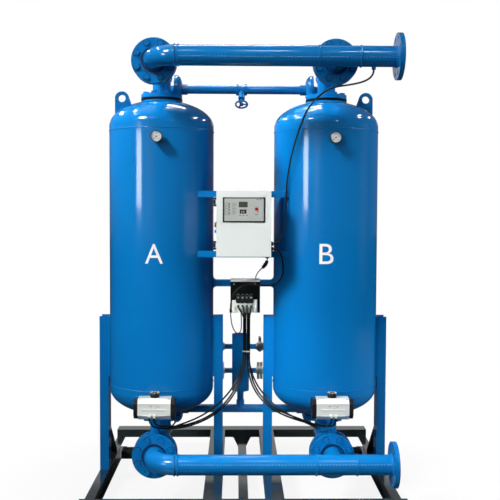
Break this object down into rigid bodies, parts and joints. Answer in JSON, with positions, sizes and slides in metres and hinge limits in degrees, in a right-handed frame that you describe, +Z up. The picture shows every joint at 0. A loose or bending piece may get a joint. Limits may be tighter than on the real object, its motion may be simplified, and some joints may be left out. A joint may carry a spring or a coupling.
{
  "type": "twin-tower desiccant air dryer",
  "caption": "Twin-tower desiccant air dryer: blue pressure vessels on a channel skid, flanged inlet and outlet pipes, purge and exhaust lines, control box.",
  "frame": {"origin": "on the floor under the centre rail, midway between the tower axes", "axes": "+X to the right along the manifolds, +Y to the back, +Z up along the towers"},
  "size_m": [1.41, 1.284, 2.122],
  "materials": {
    "blue_paint": "gloss",
    "dark_paint": "satin",
    "bright_steel": "satin",
    "desiccant": "matte",
    "gasket_rubber": "matte",
    "actuator_aluminium": "satin",
    "black_plastic": "satin",
    "pilot_valves": "satin",
    "box_paint": "satin",
    "red_plastic": "gloss",
    "cable_sheath": "satin",
    "air_tube": "gloss"
  },
  "bodies": {
    "stand": {"skid_rails": "dark_paint", "skid_cross_beams": "dark_paint", "skid_inner_rails": "dark_paint", "leg_braces": "dark_paint", "vessel_a": "blue_paint", "vessel_b": "blue_paint", "vessel_legs": "blue_paint", "leg_pads": "blue_paint", "lifting_lugs": "blue_paint", "desiccant_beds": "desiccant", "bed_screens": "bright_steel", "neck_gaskets": "gasket_rubber", "top_header_a": "blue_paint", "top_header_b": "blue_paint", "check_valve_bodies": "dark_paint", "outlet_manifold": "blue_paint", "bottom_header_a": "blue_paint", "bottom_header_b": "blue_paint", "inlet_valve_bodies": "blue_paint", "inlet_manifold": "blue_paint", "actuator_bodies": "actuator_aluminium", "actuator_caps": "black_plastic", "nozzle_elbows": "blue_paint", "purge_pipes": "blue_paint", "purge_check_valves": "blue_paint", "purge_valve_body": "blue_paint", "exhaust_header": "blue_paint", "exhaust_valves": "blue_paint", "silencer": "blue_paint", "vent_fittings": "bright_steel", "gauge_cases": "black_plastic", "control_box": "box_paint", "box_brackets": "blue_paint", "tie_beam": "blue_paint", "valve_plate": "black_plastic", "solenoid_bank": "pilot_valves", "flange_bolts": "blue_paint", "sensor_cable": "cable_sheath", "control_cable": "cable_sheath", "supply_cable": "cable_sheath", "loop_wire": "cable_sheath", "tube_a1": "air_tube", "tube_a2": "air_tube", "tube_b1": "air_tube", "tube_b2": "air_tube", "exhaust_tube_a": "air_tube", "exhaust_tube_b": "air_tube"},
    "disc_a": {"valve_disc_a": "bright_steel", "indicator_a": "black_plastic"},
    "disc_b": {"valve_disc_b": "bright_steel", "indicator_b": "black_plastic"},
    "flap_a": {"check_flap_a": "bright_steel"},
    "flap_b": {"check_flap_b": "bright_steel"},
    "door": {"control_door": "box_paint", "control_panel": "black_plastic"},
    "button": {"red_button": "red_plastic"},
    "handwheel": {"purge_handwheel": "blue_paint"},
    "plug": {"purge_plug": "bright_steel"},
    "pointer_a": {"gauge_pointer_a": "black_plastic"},
    "pointer_b": {"gauge_pointer_b": "black_plastic"}
  },
  "joints": [
    {"name": "inlet_valve_a", "type": "hinge", "parent": "stand", "child": "disc_a", "pos_m": [-0.403, -0.352, 0.251], "axis": [0, 0, 1], "range_deg": [0, 90]},
    {"name": "inlet_valve_b", "type": "hinge", "parent": "stand", "child": "disc_b", "pos_m": [0.403, -0.352, 0.251], "axis": [0, 0, 1], "range_deg": [0, 90]},
    {"name": "outlet_check_a", "type": "hinge", "parent": "stand", "child": "flap_a", "pos_m": [-0.403, -0.3673, 2.055], "axis": [-1, 0, 0], "range_deg": [0, 50]},
    {"name": "outlet_check_b", "type": "hinge", "parent": "stand", "child": "flap_b", "pos_m": [0.403, -0.3673, 2.055], "axis": [-1, 0, 0], "range_deg": [0, 50]},
    {"name": "box_door", "type": "hinge", "parent": "stand", "child": "door", "pos_m": [-0.1336, -0.303, 1.301], "axis": [0, 0, -1], "range_deg": [0, 110]},
    {"name": "button_press", "type": "slide", "parent": "door", "child": "button", "axis": [0, 1, 0], "range_m": [0, 0.003], "stiffness_N_per_m": 600, "springref_m": -0.001},
    {"name": "handwheel_turn", "type": "hinge", "parent": "stand", "child": "handwheel", "pos_m": [-0.012, 0.2, 1.982], "axis": [0, -0.5, -0.866], "range_deg": [-360, 360]},
    {"name": "plug_lift", "type": "slide", "parent": "stand", "child": "plug", "axis": [0, -0.5, -0.866], "range_m": [-0.004, 0.004]},
    {"name": "needle_a", "type": "hinge", "parent": "stand", "child": "pointer_a", "pos_m": [-0.4, -0.308, 1.696], "axis": [0, 1, 0], "range_deg": [0, 270]},
    {"name": "needle_b", "type": "hinge", "parent": "stand", "child": "pointer_b", "pos_m": [0.416, -0.308, 1.696], "axis": [0, 1, 0], "range_deg": [0, 270]}
  ],
  "couplings": [
    {"joint": "plug_lift", "follows": "handwheel_turn", "m_per_rad": 0.00063662}
  ]
}
